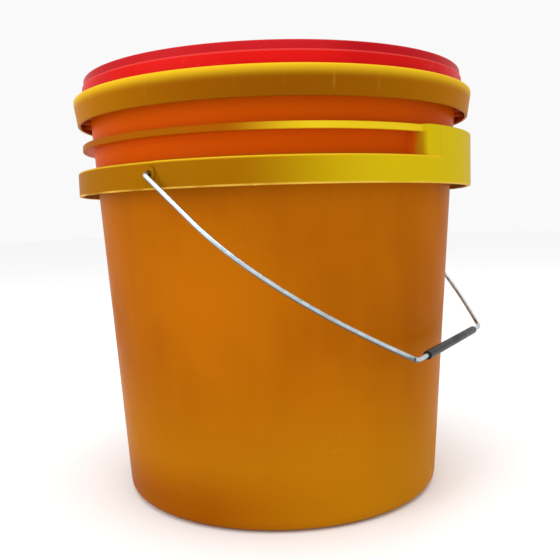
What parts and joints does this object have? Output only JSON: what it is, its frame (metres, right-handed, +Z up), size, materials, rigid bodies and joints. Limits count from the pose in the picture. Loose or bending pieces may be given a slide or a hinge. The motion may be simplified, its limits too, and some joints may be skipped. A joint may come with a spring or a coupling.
{
  "type": "lubricant bucket with press-on lid and wire bail",
  "caption": "Yellow-orange moulded plastic lubricant bucket with a red press-on lid and a wire bail with a black sleeve grip.",
  "frame": {"origin": "centre of the bucket's footprint, on the floor it stands on", "axes": "+Z up along the bucket's axis, +X towards the far ear, -Y towards the side the bail hangs on"},
  "size_m": [0.2766, 0.2674, 0.274],
  "materials": {
    "yellow_plastic": "slightly translucent moulded plastic, satin",
    "red_plastic": "moulded plastic, satin",
    "seal_rubber": "soft, matt",
    "galvanised_wire": "zinc coated, bright",
    "black_sleeve": "satin"
  },
  "bodies": {
    "bucket": {"bucket_body": "yellow_plastic"},
    "lid": {"lid": "red_plastic", "lid_seal_ring": "seal_rubber"},
    "bail": {"bail_wire": "galvanised_wire"},
    "grip": {"bail_grip": "black_sleeve"}
  },
  "joints": [
    {"name": "bail_swing", "type": "hinge", "parent": "bucket", "child": "bail", "pos_m": [0, 0, 0.2075], "axis": [-1, 0, 0], "range_deg": [-4.7, 264.7]},
    {"name": "grip_spin", "type": "hinge", "parent": "bail", "child": "grip", "pos_m": [0, -0.12593, 0.10167], "axis": [1, 0, 0], "continuous": true},
    {"name": "lid_lift", "type": "slide", "parent": "bucket", "child": "lid", "axis": [0, 0, 1], "range_m": [0, 0.12]}
  ]
}
